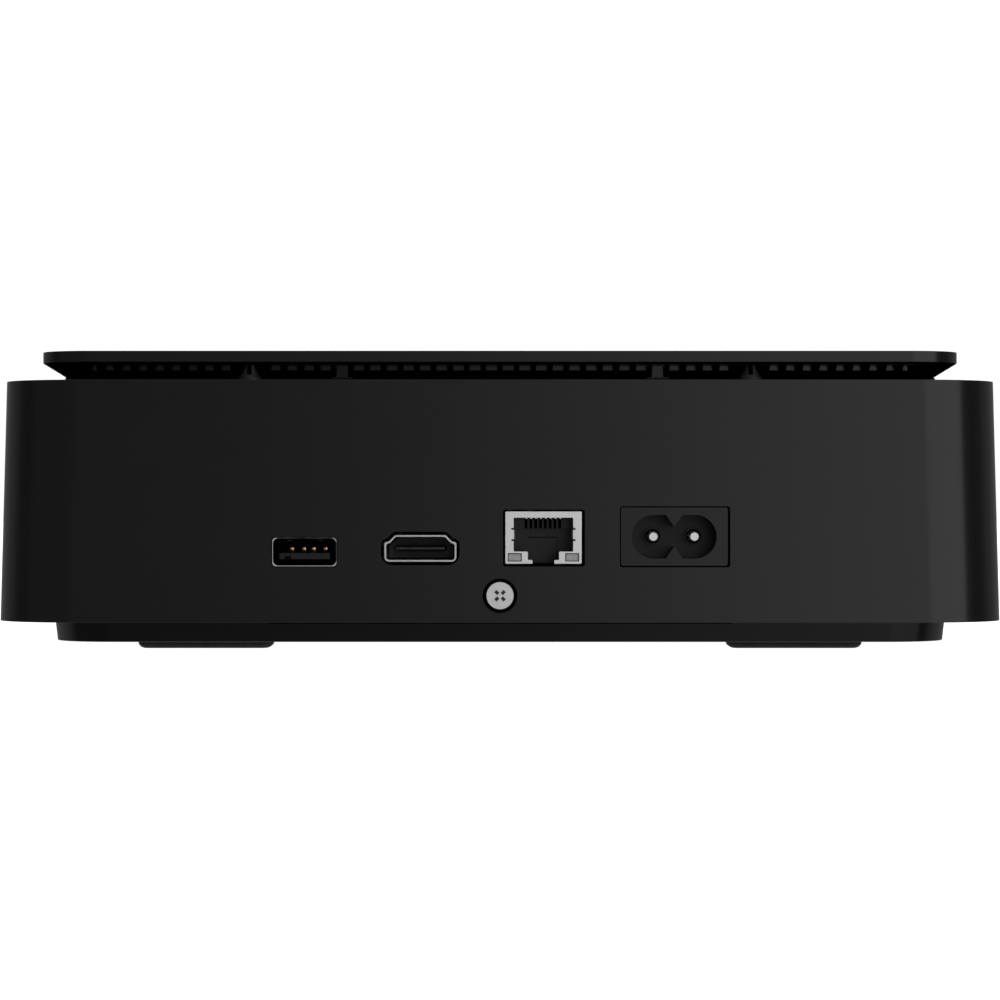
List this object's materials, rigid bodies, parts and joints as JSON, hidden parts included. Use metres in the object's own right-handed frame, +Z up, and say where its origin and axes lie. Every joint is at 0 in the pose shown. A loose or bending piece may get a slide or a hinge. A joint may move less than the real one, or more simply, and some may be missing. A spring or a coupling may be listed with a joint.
{
  "type": "mini pc",
  "caption": "Square black desktop computer with a floating lid over a ring of exhaust windows, rear sockets, a mains inlet and rubber feet.",
  "frame": {"origin": "centre of the footprint on the surface that the feet rest on", "axes": "+Z up, -Y out of the rear wall with the sockets, +Y out of the front with the power button, +X to the right as seen from behind"},
  "size_m": [0.2128, 0.2128, 0.0632],
  "materials": {
    "black_shell": "satin moulded black plastic with a very fine texture",
    "black_vent": "matt black moulded plastic",
    "black_insert": "matt black glass-filled plastic",
    "rubber_foot": "matt black rubber",
    "plated_steel": "nickel-plated sheet steel",
    "zinc_screw": "zinc-plated steel",
    "gilt_contact": "gold-plated spring contact",
    "light_lens": "milky translucent light window",
    "circuit_board": "green solder mask on glass-epoxy board",
    "chip_package": "dark grey package",
    "heatsink_metal": "extruded natural aluminium",
    "winding": "enamelled copper winding under tape",
    "capacitor_sleeve": "shrink sleeve",
    "wire_jacket": "soft insulation"
  },
  "bodies": {
    "casing": {"antenna_left": "circuit_board", "antenna_left_lead": "wire_jacket", "antenna_right": "circuit_board", "antenna_right_lead": "wire_jacket", "base_tray": "black_shell", "body_shell": "black_shell", "bulk_capacitor": "capacitor_sleeve", "coin_cell": "plated_steel", "coin_cell_holder": "black_insert", "fan_frame": "black_insert", "fan_lead": "wire_jacket", "foot_front_left": "rubber_foot", "foot_front_right": "rubber_foot", "foot_rear_left": "rubber_foot", "foot_rear_right": "rubber_foot", "front_board": "circuit_board", "hdmi_shell": "plated_steel", "hdmi_tongue": "black_insert", "heatsink": "heatsink_metal", "light_pipe": "light_lens", "line_choke": "winding", "mainboard": "circuit_board", "mainboard_screw_1": "zinc_screw", "mainboard_screw_2": "zinc_screw", "mainboard_screw_3": "zinc_screw", "mainboard_screw_4": "zinc_screw", "memory_module": "circuit_board", "memory_socket": "black_insert", "power_inlet": "black_insert", "power_pin_left": "plated_steel", "power_pin_right": "plated_steel", "power_switch": "black_insert", "processor": "chip_package", "rear_screw": "zinc_screw", "rj45_contacts": "gilt_contact", "rj45_insert": "black_insert", "rj45_light_left": "light_lens", "rj45_light_right": "light_lens", "rj45_shell": "plated_steel", "ssd": "chip_package", "ssd_socket": "black_insert", "supply_board": "circuit_board", "supply_harness": "wire_jacket", "supply_heatsink": "heatsink_metal", "supply_screw_1": "zinc_screw", "supply_screw_2": "zinc_screw", "top_lid": "black_shell", "transformer_coil": "winding", "transformer_core": "chip_package", "usb_contacts": "gilt_contact", "usb_shell": "plated_steel", "usb_tongue": "black_insert", "vent_frame": "black_vent", "wifi_card": "circuit_board"},
    "fan": {"fan_rotor": "black_insert"},
    "button": {"power_button": "black_shell", "switch_plunger": "black_insert"}
  },
  "joints": [
    {"name": "fan_spin", "type": "hinge", "parent": "casing", "child": "fan", "pos_m": [0, 0, 0.0436], "axis": [0, 0, 1], "continuous": true},
    {"name": "power_button_press", "type": "slide", "parent": "casing", "child": "button", "axis": [0, -1, 0], "range_m": [0, 0.0006], "stiffness_N_per_m": 1500}
  ]
}
